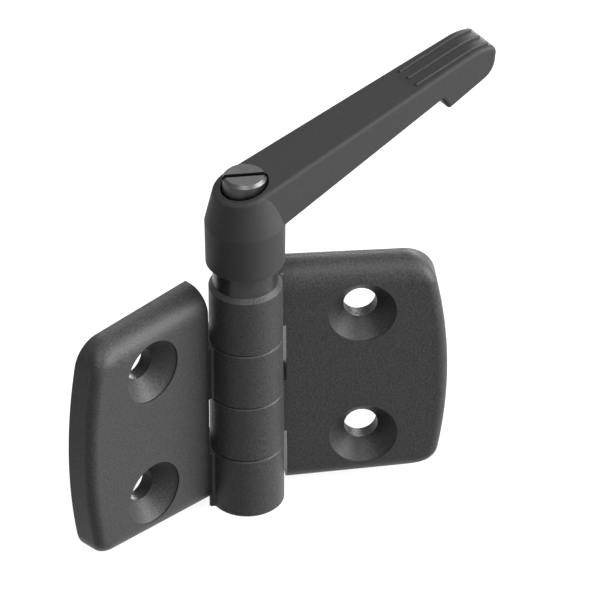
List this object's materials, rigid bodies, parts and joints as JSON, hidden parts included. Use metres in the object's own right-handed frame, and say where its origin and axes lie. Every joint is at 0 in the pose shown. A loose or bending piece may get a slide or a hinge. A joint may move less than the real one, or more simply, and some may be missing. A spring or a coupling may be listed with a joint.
{
  "type": "clamping hinge",
  "caption": "Cast hinge with countersunk leaves and a sprung indexing hand lever that clamps its barrel at any angle.",
  "frame": {"origin": "centre of the fixed leaf's two screw holes, on the face that is screwed down", "axes": "+Y into the panel that the fixed leaf is screwed to, +Z along the pin towards the lever, +X from the fixed leaf towards the barrel"},
  "size_m": [0.0939, 0.0297, 0.0843],
  "materials": {
    "black_casting": "satin black paint, finely textured on the leaves",
    "black_lever": "satin black paint",
    "grey_steel": "zinc plated",
    "dark_steel": "blackened"
  },
  "bodies": {
    "fixed_leaf": {"left_leaf": "black_casting", "clamp_bolt": "grey_steel"},
    "swing_leaf": {"right_leaf": "black_casting"},
    "clamp_bush": {"threaded_insert": "dark_steel", "retaining_screw": "grey_steel", "return_spring": "grey_steel"},
    "lever": {"lever_handle": "black_lever"}
  },
  "joints": [
    {"name": "leaf_swing", "type": "hinge", "parent": "fixed_leaf", "child": "swing_leaf", "pos_m": [0.0224, -0.0085, 0], "axis": [0, 0, 1], "range_deg": [-142.45, 97.55]},
    {"name": "lever_turn", "type": "hinge", "parent": "fixed_leaf", "child": "clamp_bush", "pos_m": [0.0224, -0.0085, 0.03], "axis": [0, 0, 1], "range_deg": [0, 180]},
    {"name": "lever_lift", "type": "slide", "parent": "clamp_bush", "child": "lever", "axis": [0, 0, 1], "range_m": [0, 0.004], "stiffness_N_per_m": 400, "springref_m": -0.003, "deforming": ["return_spring"]}
  ]
}
